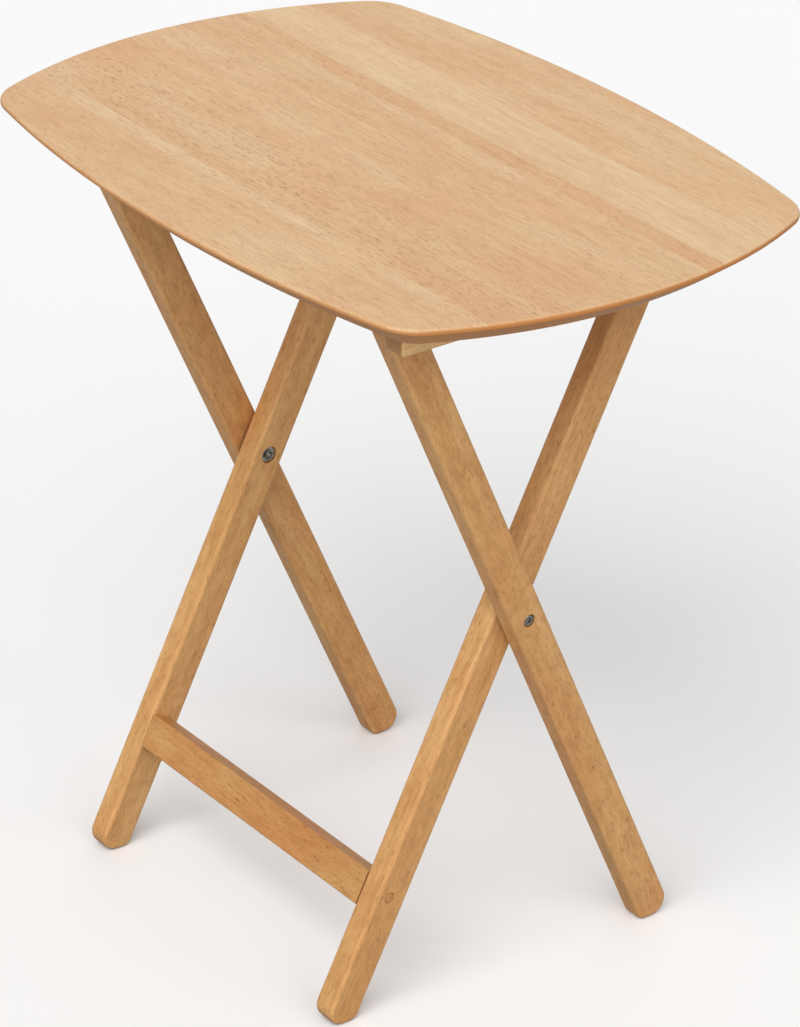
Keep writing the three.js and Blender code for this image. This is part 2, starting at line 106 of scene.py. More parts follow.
def inset(outline, distance):
    """The outline moved inward, keeping every edge parallel to itself."""
    moved = []
    for i, point in enumerate(outline):
        before = (point - outline[i - 1]).normalized()
        after = (outline[(i + 1) % len(outline)] - point).normalized()
        left = Vector((-before.y, before.x)) + Vector((-after.y, after.x))
        moved.append(point + left * distance / (1 + before.dot(after)))
    return moved


def ringed(outline, profile, place):
    """A closed board from its outline and its edge's profile, rows of (inset, height, mark) from
    the top down. The vertices' marks are kept in the attribute "arris"."""
    shell = bmesh.new()
    marks = shell.verts.layers.float.new("arris")
    rings = []
    for shift, height, mark in profile:
        ring = [shell.verts.new((p.x, p.y, height)) for p in inset(outline, shift)]
        for vertex in ring:
            vertex[marks] = mark
        rings.append(ring)
    for high, low in zip(rings, rings[1:]):
        for i in range(len(outline)):
            shell.faces.new((high[i - 1], low[i - 1], low[i], high[i]))
    shell.faces.new(rings[0])
    shell.faces.new(reversed(rings[-1]))
    shell.transform(place)
    bmesh.ops.recalc_face_normals(shell, faces=shell.faces)
    mesh = bpy.data.meshes.new("board")
    shell.to_mesh(mesh)
    shell.free()
    return mesh


def rounded_rim(arris, top, steps=5):
    """The profile of an edge rounded over by the arris, down from a flat top."""
    quarter = [math.pi / 2 * step / steps for step in range(steps + 1)] if arris else [0]
    return [
        (arris * (1 - math.sin(a)), top - arris * (1 - math.cos(a)), math.sin(2 * a))
        for a in quarter
    ]


def board(outline, thickness, arris, place, steps=5):
    """A closed board with both its rims rounded over by the arris."""
    upper = rounded_rim(arris, thickness / 2, steps)
    lower = [(shift, -height, mark) for shift, height, mark in reversed(upper)]
    return ringed(outline, upper + lower, place)


def turned(rows, sides, place, pitch=math.inf, starts=1):
    """A closed solid turned about +X from rows of (x, radius) or (x, radius, thread depth)."""
    shell = bmesh.new()
    rings = []
    for x, radius, *depth in rows:
        if radius == 0:
            rings.append([shell.verts.new((x, 0, 0))])
            continue
        ring = []
        for side in range(sides):
            share = side / sides
            crest = abs((x / pitch - starts * share) % 1 - 0.5) * 2
            reach = radius + (depth[0] * crest if depth else 0)
            angle = share * 2 * math.pi
            ring.append(shell.verts.new((x, reach * math.cos(angle), reach * math.sin(angle))))
        rings.append(ring)
    if len(rings[0]) > 1:
        rings.append(rings[0])
    for low, high in zip(rings, rings[1:]):
        for i in range(sides):
            if len(low) == 1:
                shell.faces.new((low[0], high[i], high[i - 1]))
            elif len(high) == 1:
                shell.faces.new((low[i - 1], low[i], high[0]))
            else:
                shell.faces.new((low[i - 1], low[i], high[i], high[i - 1]))
    shell.transform(place)
    bmesh.ops.recalc_face_normals(shell, faces=shell.faces)
    mesh = bpy.data.meshes.new("turned")
    shell.to_mesh(mesh)
    shell.free()
    return mesh


def heading(place, toward, spin=0):
    """The matrix that takes the origin to place and +X to the direction toward."""
    turn = Vector((1, 0, 0)).rotation_difference(toward).to_matrix().to_4x4()
    return Matrix.Translation(place) @ turn @ Matrix.Rotation(spin, 4, "X")


def drill(place, toward, radius, depth, shank=0, length=0, sides=48):
    """The tool for a hole from a face inward: a mouth with a broken edge, then a shank."""
    clear = 0.002
    rim = 0.0004
    rows = [(-clear, 0), (-clear, radius + rim), (0, radius + rim), (rim, radius), (depth, radius)]
    rows += [(depth, shank), (length, shank), (length, 0)] if shank else [(depth, 0)]
    return turned(rows, sides, heading(place, toward))


def plain_mesh(thing):
    """The thing's evaluated mesh, with its modifiers applied."""
    bpy.context.view_layer.update()
    graph = bpy.context.evaluated_depsgraph_get()
    return bpy.data.meshes.new_from_object(thing.evaluated_get(graph))


def stand_in(mesh):
    """A temporary object for a mesh that is still being worked on."""
    thing = bpy.data.objects.new("work", mesh)
    bpy.context.collection.objects.link(thing)
    return thing


def cut_away(mesh, tools, operation="DIFFERENCE"):
    """The mesh with the tools' solids cut out of it."""
    work = stand_in(mesh)
    cutters = [stand_in(tool) for tool in tools]
    for cutter in cutters:
        cut = work.modifiers.new("cut", "BOOLEAN")
        cut.operation = operation
        cut.solver = "EXACT"
        cut.object = cutter
    result = plain_mesh(work)
    for thing in [work, *cutters]:
        bpy.data.objects.remove(thing)
    return result


def smooth_shaded(mesh, crease=math.radians(38)):
    """The mesh with its rounded parts shaded smooth and its flat faces shaded flat."""
    mesh.shade_smooth()
    mesh.set_sharp_from_angle(angle=crease)
    work = stand_in(mesh)
    weigh = work.modifiers.new("shade", "WEIGHTED_NORMAL")
    weigh.keep_sharp = True
    result = plain_mesh(work)
    bpy.data.objects.remove(work)
    return result


def piece(name, mesh, finish, body, slot, *nodes):
    """A finished piece: its mesh, its material, the body it rides on and the nodes it replaces."""
    mesh.name = name
    mesh.materials.clear()
    mesh.materials.append(finish)
    thing = bpy.data.objects.new(name, mesh)
    bpy.context.collection.objects.link(thing)
    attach(thing, body)
    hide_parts(*nodes)
    return thing


def node(tree, kind, sockets=None, **settings):
    """A new node with its settings, and each socket linked or given a value."""
    made = tree.nodes.new(kind)
    for key, value in settings.items():
        setattr(made, key, value)
    for key, value in (sockets or {}).items():
        if isinstance(value, bpy.types.NodeSocket):
            tree.links.new(value, made.inputs[key])
        else:
            made.inputs[key].default_value = value
    return made


def math_node(tree, operation, *values):
    return node(tree, "ShaderNodeMath", dict(enumerate(values)), operation=operation).outputs[0]


def between(tree, value, low, high, to_low=0.0, to_high=1.0):
    """The value eased from to_low at low to to_high at high."""
    sockets = {0: value, 1: low, 2: high, 3: to_low, 4: to_high}
    settings = {"interpolation_type": "SMOOTHSTEP"}
    return node(tree, "ShaderNodeMapRange", sockets, **settings).outputs[0]


def mixed(tree, share, first, second):
    """Two colours mixed by a share."""
    sockets = {0: share, 6: first, 7: second}
    settings = {"data_type": "RGBA", "clamp_factor": True}
    return node(tree, "ShaderNodeMix", sockets, **settings).outputs[2]


def grain_group():
    """Wood grain in the solid, as masks: broad figure, fine lines, open pores, rare dark flecks,
    broad clouds and small mottling. Its inputs are a place in metres with the grain along X, and
    a seed for the piece."""
    tree = bpy.data.node_groups.new("Wood grain", "ShaderNodeTree")
    sockets = tree.interface
    sockets.new_socket("Along grain", in_out="INPUT", socket_type="NodeSocketVector")
    sockets.new_socket("Seed", in_out="INPUT", socket_type="NodeSocketFloat")
    for name in ("Figure", "Lines", "Pores", "Flecks", "Clouds", "Mottle"):
        sockets.new_socket(name, in_out="OUTPUT", socket_type="NodeSocketFloat")
    given = node(tree, "NodeGroupInput")
    place = given.outputs["Along grain"]
    seed = given.outputs["Seed"]

    def noise(vector, stretch, detail, roughness, offset):
        scaled = node(tree, "ShaderNodeVectorMath", {0: vector, 1: stretch}, operation="MULTIPLY")
        sockets = {
            "Vector": scaled.outputs[0],
            "W": math_node(tree, "ADD", seed, offset),
            "Scale": 1.0,
            "Detail": detail,
            "Roughness": roughness,
        }
        return node(tree, "ShaderNodeTexNoise", sockets, noise_dimensions="4D")

    drift = noise(place, (3.0, 9.0, 9.0), 2.0, 0.5, 11.0).outputs["Color"]
    sway = node(tree, "ShaderNodeVectorMath", {0: drift, 1: (0, 0.022, 0.022)}, operation="MULTIPLY")
    bent = node(tree, "ShaderNodeVectorMath", {0: place, 1: sway.outputs[0]}, operation="ADD")
    bent = bent.outputs[0]
    figure = noise(bent, (2.6, 42.0, 42.0), 3.0, 0.55, 0.0).outputs["Fac"]
    lines = noise(bent, (26.0, 430.0, 430.0), 4.0, 0.7, 3.0).outputs["Fac"]
    pores = noise(bent, (135.0, 820.0, 820.0), 3.0, 0.65, 5.0).outputs["Fac"]
    flecks = noise(bent, (70.0, 330.0, 330.0), 3.0, 0.7, 7.0).outputs["Fac"]
    clouds = noise(place, (9.0, 26.0, 26.0), 2.0, 0.5, 13.0).outputs["Fac"]
    mottle = noise(bent, (48.0, 130.0, 130.0), 4.0, 0.7, 17.0).outputs["Fac"]
    crowded = between(tree, clouds, 0.44, 0.62, 0.25, 1.0)
    values = {
        "Figure": between(tree, figure, 0.33, 0.67),
        "Lines": between(tree, lines, 0.36, 0.68),
        "Pores": between(tree, pores, 0.53, 0.68),
        "Flecks": math_node(tree, "MULTIPLY", between(tree, flecks, 0.62, 0.72), crowded),
        "Clouds": between(tree, clouds, 0.3, 0.7),
        "Mottle": between(tree, mottle, 0.40, 0.66),
    }
    node(tree, "NodeGroupOutput", values)
    return tree


WOOD_GRAIN = grain_group()


def colour(red, green, blue):
    """A display colour, given in 0 to 255, as a linear one."""
    return tuple(((c / 255 + 0.055) / 1.055) ** 2.4 for c in (red, green, blue)) + (1.0,)


# How strongly the pale tone is painted along rounded arrises as a highlight.
PAINTED_ARRIS_HIGHLIGHT = 0.12


def lacquered_wood(
    name, tones, grain_turn, grain, seed, staves=None, pores=0.5, flecks=0.0, mottle=0.12,
    edge=None,
):
    """Bare-looking wood under a satin lacquer. tones are its pale, middle, pink, dark and end
    grain colours, grain is the direction it grows in, and grain_turn lays that along X. edge is
    the colour that its marked edges take, and how strongly; without it, a faint painted highlight
    of the pale tone is laid along the rounded arrises."""
    finish = bpy.data.materials.new(name)
    finish.use_nodes = True
    tree = finish.node_tree
    shader = tree.nodes["Principled BSDF"]
    where = node(tree, "ShaderNodeTexCoord")
    turned_place = node(
        tree, "ShaderNodeMapping", {"Vector": where.outputs["Object"], "Rotation": grain_turn}
    ).outputs[0]
    pale, middle, pink, dark, end = tones
    stave_pores = pores
    if staves:
        stave_pores, pink_share, paleness, number = staves(tree, where.outputs["Object"])
        seed = math_node(tree, "ADD", number, seed)
    sockets = {"Along grain": turned_place, "Seed": seed}
    masks = node(tree, "ShaderNodeGroup", sockets, node_tree=WOOD_GRAIN).outputs
    if staves:
        tone = math_node(tree, "MULTIPLY_ADD", masks["Figure"], 0.55, paleness)
        tone = math_node(tree, "SUBTRACT", tone, 0.27)
        pinkness = math_node(tree, "MULTIPLY", masks["Clouds"], pink_share)
    else:
        tone = masks["Figure"]
        pinkness = math_node(tree, "MULTIPLY", masks["Clouds"], 0.6)
    body = mixed(tree, tone, middle, pale)
    body = mixed(tree, pinkness, body, pink)
    body = mixed(tree, math_node(tree, "MULTIPLY", masks["Lines"], 0.20), body, dark)
    body = mixed(tree, math_node(tree, "MULTIPLY", masks["Mottle"], mottle), body, dark)
    opened = math_node(tree, "MULTIPLY", masks["Pores"], stave_pores)
    body = mixed(tree, math_node(tree, "MULTIPLY", opened, 0.74), body, dark)
    if flecks:
        marked = math_node(tree, "MULTIPLY", masks["Flecks"], flecks)
        body = mixed(tree, marked, body, tuple(c * 0.35 for c in dark[:3]) + (1.0,))
    facing = node(
        tree,
        "ShaderNodeVectorMath",
        {0: where.outputs["Normal"], 1: grain},
        operation="DOT_PRODUCT",
    ).outputs["Value"]
    end_share = between(tree, math_node(tree, "ABSOLUTE", facing), 0.55, 0.97, 0.0, 0.8)
    body = mixed(tree, end_share, body, end)
    # Marked edges are mixed toward the edge tone; by default that is a faint painted highlight of the pale
    # tone.
    rim = node(tree, "ShaderNodeAttribute", attribute_name="arris").outputs["Fac"]
    edge_tone, edge_share = edge or (pale, PAINTED_ARRIS_HIGHLIGHT)
    body = mixed(tree, math_node(tree, "MULTIPLY", rim, edge_share), body, edge_tone)
    tree.links.new(body, shader.inputs["Base Color"])
    rough = math_node(tree, "MULTIPLY_ADD", opened, 0.14, 0.43)
    rough = math_node(tree, "MULTIPLY_ADD", masks["Figure"], 0.05, rough)
    tree.links.new(rough, shader.inputs["Roughness"])
    lines = math_node(tree, "MULTIPLY", masks["Lines"], -0.3)
    height = math_node(tree, "MULTIPLY_ADD", opened, -1.0, lines)
    bump = node(tree, "ShaderNodeBump", {"Height": height, "Strength": 0.5, "Distance": 0.00012})
    tree.links.new(bump.outputs[0], shader.inputs["Normal"])
    shader.inputs["IOR"].default_value = 1.45
    shader.inputs["Specular IOR Level"].default_value = 0.35
    shader.inputs["Coat Weight"].default_value = 0.05
    shader.inputs["Coat Roughness"].default_value = 0.32
    return finish


tray_low, tray_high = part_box("tray_top")
tray_size = tray_high - tray_low
tray_centre = (tray_high + tray_low) / 2


def tray_staves(tree, place):
    """How open the pores, how pink, how pale and which number the stave at a place is."""
    y = node(tree, "ShaderNodeSeparateXYZ", {0: place}).outputs["Y"]
    share = math_node(tree, "DIVIDE", math_node(tree, "SUBTRACT", y, tray_low.y), tray_size.y)
    ramp = node(tree, "ShaderNodeValToRGB", {0: share})
    ramp.color_ramp.interpolation = "CONSTANT"
    numbers = []
    start = 0.0
    for i, (width, paleness, pinkness, pores) in enumerate(STAVES):
        stop = ramp.color_ramp.elements[i] if i < 2 else ramp.color_ramp.elements.new(start)
        stop.position = start
        stop.color = (pores, pinkness, paleness, 1.0)
        numbers.append(math_node(tree, "GREATER_THAN", share, start))
        start += width / tray_size.y
    number = numbers[0]
    for passed in numbers[1:]:
        number = math_node(tree, "ADD", number, passed)
    parts = node(tree, "ShaderNodeSeparateColor", {0: ramp.outputs[0]})
    spread = math_node(tree, "MULTIPLY", number, 2.7)
    return parts.outputs[0], parts.outputs[1], parts.outputs[2], spread


TRAY_TONES = (
    colour(232, 200, 156),
    colour(219, 178, 130),
    colour(222, 168, 122),
    colour(166, 108, 62),
    colour(186, 116, 54),
)
TRAY_EDGE = (colour(190, 124, 62), 0.8)
tray_wood = lacquered_wood(
    "tray_wood", TRAY_TONES, (0, 0, 0), (1, 0, 0), 1.0, staves=tray_staves, edge=TRAY_EDGE
)

cleat_screw_nodes = sorted(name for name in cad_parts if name.startswith("cleat_screw"))


def centre(name):
    low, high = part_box(name)
    return (low + high) / 2


UP = Vector((0, 0, 1))
SCREW_PILOT = 0.0023

tray_tools = []
for name in cleat_screw_nodes:
    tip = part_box(name)[1].z
    foot = Vector((centre(name).x, centre(name).y, tray_low.z))
    tray_tools.append(drill(foot, UP, SCREW_PILOT, tip - tray_low.z + 0.001, sides=16))
half_height = tray_size.z / 2
tray_edge = [
    (shift, height, ((half_height - height) / TRAY_ARRIS) ** 2)
    for shift, height, _ in rounded_rim(TRAY_ARRIS, half_height, 7)
]
rim_foot = half_height - TRAY_ARRIS - TRAY_RIM
tray_edge += [
    (0, rim_foot, 1.0),
    (TRAY_SOFTNESS * 0.3, rim_foot - TRAY_SOFTNESS, 1.0),
    (TRAY_SOFTNESS * 1.2, rim_foot - TRAY_SOFTNESS * 2, 1.0),
    (TRAY_BEVEL - TRAY_SOFTNESS, TRAY_SOFTNESS - half_height, 0.9),
    (TRAY_BEVEL + TRAY_SOFTNESS, -half_height, 0.0),
]
tray_board = ringed(
    barrel_outline(tray_size.x / 2, tray_size.y / 2), tray_edge, Matrix.Translation(tray_centre)
)
piece(
    "tray_board", smooth_shaded(cut_away(tray_board, tray_tools)), tray_wood, "tray", "tray_wood",
    "tray_top",
)

# ---------------------------------------------------------------------------------- cleats
# A straight cleat of the same wood is screwed up into the underside of each side of the tray.
# The pivot screw of the outer leg bites in its front end, and a leaning notch near its rear
# end hooks over the catch rod and holds the table open.

CLEAT_ARRIS = 0.0025
CLEAT_CORNER = 0.004
NOTCH_RADIUS = 0.0086
NOTCH_LEAN = math.radians(28)
NOTCH_FLARE = 0.002
BOLT_SHANK = 0.0028
PIVOT_BITE = 0.015
SCREW_MOUTH = 0.0043
SCREW_RECESS = 0.012
THROUGH = 0.05
SIDES = {"right": 1, "left": -1}

# takes an outline drawn in Y and Z, thick along the third axis, to Y and Z, thick along X
STANDING = Matrix(((0, 0, 1, 0), (1, 0, 0, 0), (0, 1, 0, 0), (0, 0, 0, 1)))


def rounded_outline(corners, steps=8):
    """An outline from (x, y, radius) corners, each with a radius becoming an arc."""
    points = []
    for i, (x, y, radius) in enumerate(corners):
        corner = Vector((x, y))
        if radius == 0:
            points.append(corner)
            continue
        back = (Vector(corners[i - 1][:2]) - corner).normalized()
        ahead = (Vector(corners[(i + 1) % len(corners)][:2]) - corner).normalized()
        half = math.acos(back.dot(ahead)) / 2
        middle = corner + (back + ahead).normalized() * radius / math.sin(half)
        first = corner + back * radius / math.tan(half) - middle
        sweep = math.pi - 2 * half
        count = max(2, round(steps * sweep / (math.pi / 2)))
        start = math.atan2(first.y, first.x)
        angles = [start + sweep * k / count for k in range(count + 1)]
        points += [middle + radius * Vector((math.cos(a), math.sin(a))) for a in angles]
    return [p for i, p in enumerate(points) if (p - points[i - 1]).length > 1e-5]


RAIL_TONES = (
    colour(212, 164, 106),
    colour(196, 144, 86),
    colour(196, 128, 68),
    colour(146, 88, 38),
    colour(156, 102, 54),
)
CLEAT_TONES = (
    colour(246, 208, 148),
    colour(234, 190, 128),
    colour(230, 178, 120),
    colour(170, 116, 66),
    colour(160, 108, 62),
)
cleat_wood = lacquered_wood(
    "cleat_wood", CLEAT_TONES, (0, 0, -math.pi / 2), (0, 1, 0), 23.0, pores=0.5, flecks=0.5
)

for side, sign in SIDES.items():
    low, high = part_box(f"cleat_{side}")
    middle = (low + high) / 2
    half_length = (high.y - low.y) / 2
    half_height = (high.z - low.z) / 2
    outline = rounded_outline([
        (-half_length, -half_height, CLEAT_CORNER),
        (half_length, -half_height, CLEAT_CORNER),
        (half_length, half_height, 0),
        (-half_length, half_height, 0),
    ])
    blank = board(outline, high.x - low.x, CLEAT_ARRIS, Matrix.Translation(middle) @ STANDING)
    seat = arc(Vector((0, 0)), NOTCH_RADIUS, 0, math.pi, 20)
    reach = high.z - low.z
    seat += [Vector((-NOTCH_RADIUS, 0)), Vector((-NOTCH_RADIUS - NOTCH_FLARE, -reach))]
    seat += [Vector((NOTCH_RADIUS, -reach))]
    rod = centre("catch_rod")
    notch_place = Matrix.Translation((middle.x, rod.y, rod.z)) @ STANDING
    notch_place = notch_place @ Matrix.Rotation(-NOTCH_LEAN, 4, "Z")
    tools = [board(seat, THROUGH, 0, notch_place)]
    outward = Vector((sign, 0, 0))
    screw = centre(f"tray_pivot_screw_{side}")
    face = low.x if sign > 0 else high.x
    tools.append(drill(Vector((face, screw.y, screw.z)), outward, BOLT_SHANK, PIVOT_BITE, sides=32))
    for name in cleat_screw_nodes:
        if side in name:
            foot = Vector((middle.x, centre(name).y, low.z))
            tools.append(drill(foot, UP, SCREW_MOUTH, SCREW_RECESS, SCREW_PILOT, THROUGH, sides=32))
    mesh = smooth_shaded(cut_away(blank, tools))
    piece(f"cleat_board_{side}", mesh, cleat_wood, "tray", "rail_wood", f"cleat_{side}")

# ---------------------------------------------------------------------------- cleat screws
# Three zinc-plated countersunk wood screws go up through each cleat into the tray. Their
# cross-slotted heads sit deep in counterbored holes in the cleat's underside.

SCREW_HEAD = 0.0040
SCREW_CORE = 0.00145
SCREW_THREAD = 0.00055
SCREW_PITCH = 0.0018
SCREW_POINT = 0.006
SLOT_WIDTH = 0.0008


def metal(name, tone, roughness, seed):
    """A plated or bright metal, with fine cloudy dulling and small scuffs in its gloss."""
    finish = bpy.data.materials.new(name)
    finish.use_nodes = True
    tree = finish.node_tree
    shader = tree.nodes["Principled BSDF"]
    where = node(tree, "ShaderNodeTexCoord").outputs["Object"]
    dull = node(
        tree,
        "ShaderNodeTexNoise",
        {"Vector": where, "W": seed, "Scale": 420.0, "Detail": 4.0},
        noise_dimensions="4D",
    ).outputs["Fac"]
    scuffs = node(
        tree,
        "ShaderNodeTexNoise",
        {"Vector": where, "W": seed + 4.0, "Scale": 1900.0, "Detail": 2.0},
        noise_dimensions="4D",
    ).outputs["Fac"]
    darker = tuple(c * 0.62 for c in tone[:3]) + (1.0,)
    body = mixed(tree, between(tree, dull, 0.38, 0.66), darker, tone)
    tree.links.new(body, shader.inputs["Base Color"])
    tree.links.new(between(tree, dull, 0.3, 0.7, roughness + 0.12, roughness), shader.inputs["Roughness"])
    bump = node(tree, "ShaderNodeBump", {"Height": scuffs, "Strength": 0.25, "Distance": 0.00005})
    tree.links.new(bump.outputs[0], shader.inputs["Normal"])
    shader.inputs["Metallic"].default_value = 1.0
    return finish


def fixings_tree():
    """Sets one fixing on each mark, facing the mark's heading and turned by chance about it."""
    tree = bpy.data.node_groups.new("Fixings on marks", "GeometryNodeTree")
    sockets = tree.interface
    sockets.new_socket("Marks", in_out="INPUT", socket_type="NodeSocketGeometry")
    sockets.new_socket("Fixing", in_out="INPUT", socket_type="NodeSocketObject")
    sockets.new_socket("Seed", in_out="INPUT", socket_type="NodeSocketInt")
    sockets.new_socket("Finish", in_out="INPUT", socket_type="NodeSocketMaterial")
    sockets.new_socket("Fixings", in_out="OUTPUT", socket_type="NodeSocketGeometry")
    given = node(tree, "NodeGroupInput").outputs
    fixing = node(tree, "GeometryNodeObjectInfo", {"Object": given["Fixing"]}).outputs["Geometry"]
    named = node(tree, "GeometryNodeInputNamedAttribute", data_type="FLOAT_VECTOR")
    named.inputs["Name"].default_value = "heading"
    facing = node(
        tree, "FunctionNodeAlignRotationToVector", {"Vector": named.outputs["Attribute"]}, axis="X"
    ).outputs[0]
    chance = node(tree, "FunctionNodeRandomValue", {"Seed": given["Seed"]}, data_type="FLOAT")
    chance.inputs[3].default_value = math.tau
    spin = node(
        tree, "FunctionNodeAxisAngleToRotation", {"Axis": (1, 0, 0), "Angle": chance.outputs[1]}
    ).outputs[0]
    sockets = {"Rotation": facing, "Rotate By": spin}
    turn = node(tree, "FunctionNodeRotateRotation", sockets, rotation_space="LOCAL").outputs[0]
    sockets = {"Points": given["Marks"], "Instance": fixing, "Rotation": turn}
    placed = node(tree, "GeometryNodeInstanceOnPoints", sockets).outputs[0]
    solid = node(tree, "GeometryNodeRealizeInstances", {"Geometry": placed}).outputs[0]
    sockets = {"Geometry": solid, "Material": given["Finish"]}
    finished = node(tree, "GeometryNodeSetMaterial", sockets).outputs[0]
    node(tree, "NodeGroupOutput", {"Fixings": finished})
    return tree


FIXINGS = fixings_tree()


def fixings(name, template, marks, finish, seed, body, slot, *nodes):
    """One piece made of a fixing repeated at marks, a list of (place, heading) pairs."""
    points = bpy.data.meshes.new("marks")
    points.from_pydata([place for place, _ in marks], [], [])
    headings = points.attributes.new("heading", "FLOAT_VECTOR", "POINT")
    for datum, (_, toward) in zip(headings.data, marks):
        datum.vector = toward
    work = stand_in(points)
    shape = stand_in(template)
    setter = work.modifiers.new("fixings", "NODES")
    setter.node_group = FIXINGS
    values = {"Fixing": shape, "Seed": seed, "Finish": finish}
    for socket in FIXINGS.interface.items_tree:
        if socket.name in values:
            setter[socket.identifier] = values[socket.name]
    mesh = plain_mesh(work)
    bpy.data.objects.remove(work)
    bpy.data.objects.remove(shape)
    return piece(name, smooth_shaded(mesh), finish, body, slot, *nodes)


def wood_screw(length, head):
    """A countersunk screw from its head's face at x = 0 to its point, with a cross slot."""
    neck = head - SCREW_CORE
    rows = [(0.0002, 0), (0.00005, head * 0.5), (0, head * 0.94), (0.0003, head), (neck, SCREW_CORE)]
    rows += [(neck + 0.004, SCREW_CORE)]
    start = neck + 0.005
    step = SCREW_PITCH / 6
    for k in range(int((length - start) / step)):
        x = start + k * step
        taper = min(1, (length - x) / SCREW_POINT)
        rows.append((x, SCREW_CORE * (0.12 + 0.88 * taper), SCREW_THREAD * min(1, taper * 1.6)))
    rows.append((length, 0))
    blank = turned(rows, 24, Matrix(), SCREW_PITCH)
    slots = []
    for angle in (0, math.pi / 2):
        corners = ((-0.001, -0.0023), (0.0014, -0.0009), (0.0014, 0.0009), (-0.001, 0.0023))
        outline = [Vector(corner) for corner in corners]
        slots.append(board(outline, SLOT_WIDTH, 0, Matrix.Rotation(angle, 4, "X")))
    return cut_away(blank, slots)


zinc_plate = metal("zinc_plate", colour(196, 196, 188), 0.34, 3.0)
screw_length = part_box(cleat_screw_nodes[0])[1].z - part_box(cleat_screw_nodes[0])[0].z
screw_marks = [
    (Vector((centre(name).x, centre(name).y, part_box(name)[0].z)), UP) for name in cleat_screw_nodes
]
fixings(
    "cleat_screws", wood_screw(screw_length, SCREW_HEAD), screw_marks, zinc_plate, 4,
    "tray", "zinc_plated", *cleat_screw_nodes,
)

# ------------------------------------------------------------------------------ outer legs
# Two straight legs outside the frame, joined to the cleats at their tops and to the inner
# legs at the scissor pivots. Each is round at its top and sawn level with the floor at its
# foot, with softened edges and a clear lacquer.

LEG_WIDTH = 0.031
LEG_ARRIS = 0.0034
LEG_TOE = 0.014
LEG_HEEL = 0.0075
BOLT_MOUTH = 0.0055
BOLT_RECESS = 0.0046
NUT_MOUTH = 0.0074
PIVOT_RECESS = 0.005
LEG_TONES = (
    colour(228, 182, 122),
    colour(212, 160, 98),
    colour(212, 150, 94),
    colour(156, 98, 48),
    colour(162, 108, 60),
)

scissor = centre("scissor_bolt_right")
tray_pivot = centre("tray_pivot_washer_right")
outer_lean = math.atan2(scissor.y - tray_pivot.y, tray_pivot.z - scissor.z)
outer_reach = math.hypot(scissor.y - tray_pivot.y, tray_pivot.z - scissor.z)


def leg_board(x, thickness, lean, reach):
    """A leg's blank at x, leaning back by lean, with its round top a reach above the scissor."""
    half = LEG_WIDTH / 2
    top = reach + half

    def floor_at(across):
        return (-scissor.z - across * math.sin(lean)) / math.cos(lean)

    near, far = (LEG_HEEL, LEG_TOE) if lean > 0 else (LEG_TOE, LEG_HEEL)
    outline = rounded_outline([
        (-half, floor_at(-half), near),
        (half, floor_at(half), far),
        (half, top, half),
        (-half, top, half),
    ])
    place = Matrix.Translation((x, scissor.y, scissor.z)) @ Matrix.Rotation(lean, 4, "X")
    return board(outline, thickness, LEG_ARRIS, place @ STANDING)


def leg_finish(name, lean, seed):
    """Leg wood with its grain running up a leg that leans by lean."""
    grain = (0, -math.sin(lean), math.cos(lean))
    turn = (-lean, math.pi / 2, 0)
    return lacquered_wood(name, LEG_TONES, turn, grain, seed, pores=0.85, flecks=0.9, mottle=0.30)


for side, sign in SIDES.items():
    low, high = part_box(f"outer_leg_{side}")
    middle_x = (low.x + high.x) / 2
    outside, inside = (high.x, low.x) if sign > 0 else (low.x, high.x)
    blank = leg_board(middle_x, high.x - low.x, outer_lean, outer_reach)
    inward = Vector((-sign, 0, 0))
    head = Vector((outside, scissor.y, scissor.z))
    washer = Vector((inside, tray_pivot.y, tray_pivot.z))
    tools = [
        drill(head, inward, BOLT_MOUTH, BOLT_RECESS, BOLT_SHANK, THROUGH),
        drill(washer, -inward, NUT_MOUTH, PIVOT_RECESS, BOLT_SHANK, THROUGH),
    ]
    finish = leg_finish(f"outer_leg_wood_{side}", outer_lean, 31.0 + 5.0 * sign)
    mesh = smooth_shaded(cut_away(blank, tools))
    piece(f"outer_leg_board_{side}", mesh, finish, "outer_frame", "leg_wood", f"outer_leg_{side}")

# --------------------------------------------------------------------------- pivot hardware
# A steel bolt with a hexagon socket, sunk in the outer leg's outside, goes through each
# scissor pivot into a washer and nut in a round recess. A like screw goes out through each
# outer leg's top into the cleat. A spacer washer keeps the woods apart at every pivot.

BOLT_HEAD = 0.0046
BOLT_HEAD_HEIGHT = 0.0032
BOLT_CORE = 0.0021
BOLT_THREAD = 0.0004
BOLT_PITCH = 0.0008
SOCKET_RADIUS = 0.0022
SOCKET_DEPTH = 0.0020
NUT_ACROSS_FLATS = 0.008
NUT_HEIGHT = 0.0024

bright_steel = metal("bright_steel", colour(168, 170, 162), 0.30, 8.0)


def bolt_shape(length):
    """A bolt from its head's face at x = 0 to its end, with a thread on its last stretch."""
    soft = 0.0006
    shank = BOLT_CORE + BOLT_THREAD
    rows = [(0, 0), (0, SOCKET_RADIUS * 1.2), (0, BOLT_HEAD - soft)]
    rows += [
        (soft * (1 - math.cos(a)), BOLT_HEAD - soft * (1 - math.sin(a)))
        for a in (math.pi / 8 * k for k in range(1, 5))
    ]
    rows += [(BOLT_HEAD_HEIGHT, BOLT_HEAD), (BOLT_HEAD_HEIGHT, shank)]
    step = BOLT_PITCH / 4
    start = length - 0.014
    rows.append((start - 0.001, shank))
    for k in range(int((length - soft - start) / step)):
        rows.append((start + k * step, BOLT_CORE, BOLT_THREAD))
    rows += [(length - soft / 2, BOLT_CORE), (length, BOLT_CORE - soft / 2), (length, 0)]
    blank = turned(rows, 32, Matrix(), BOLT_PITCH)
    socket = turned(
        [(-0.001, 0), (-0.001, SOCKET_RADIUS), (SOCKET_DEPTH, SOCKET_RADIUS), (SOCKET_DEPTH + 0.0007, 0)],
        6, Matrix(),
    )
    return cut_away(blank, [socket])


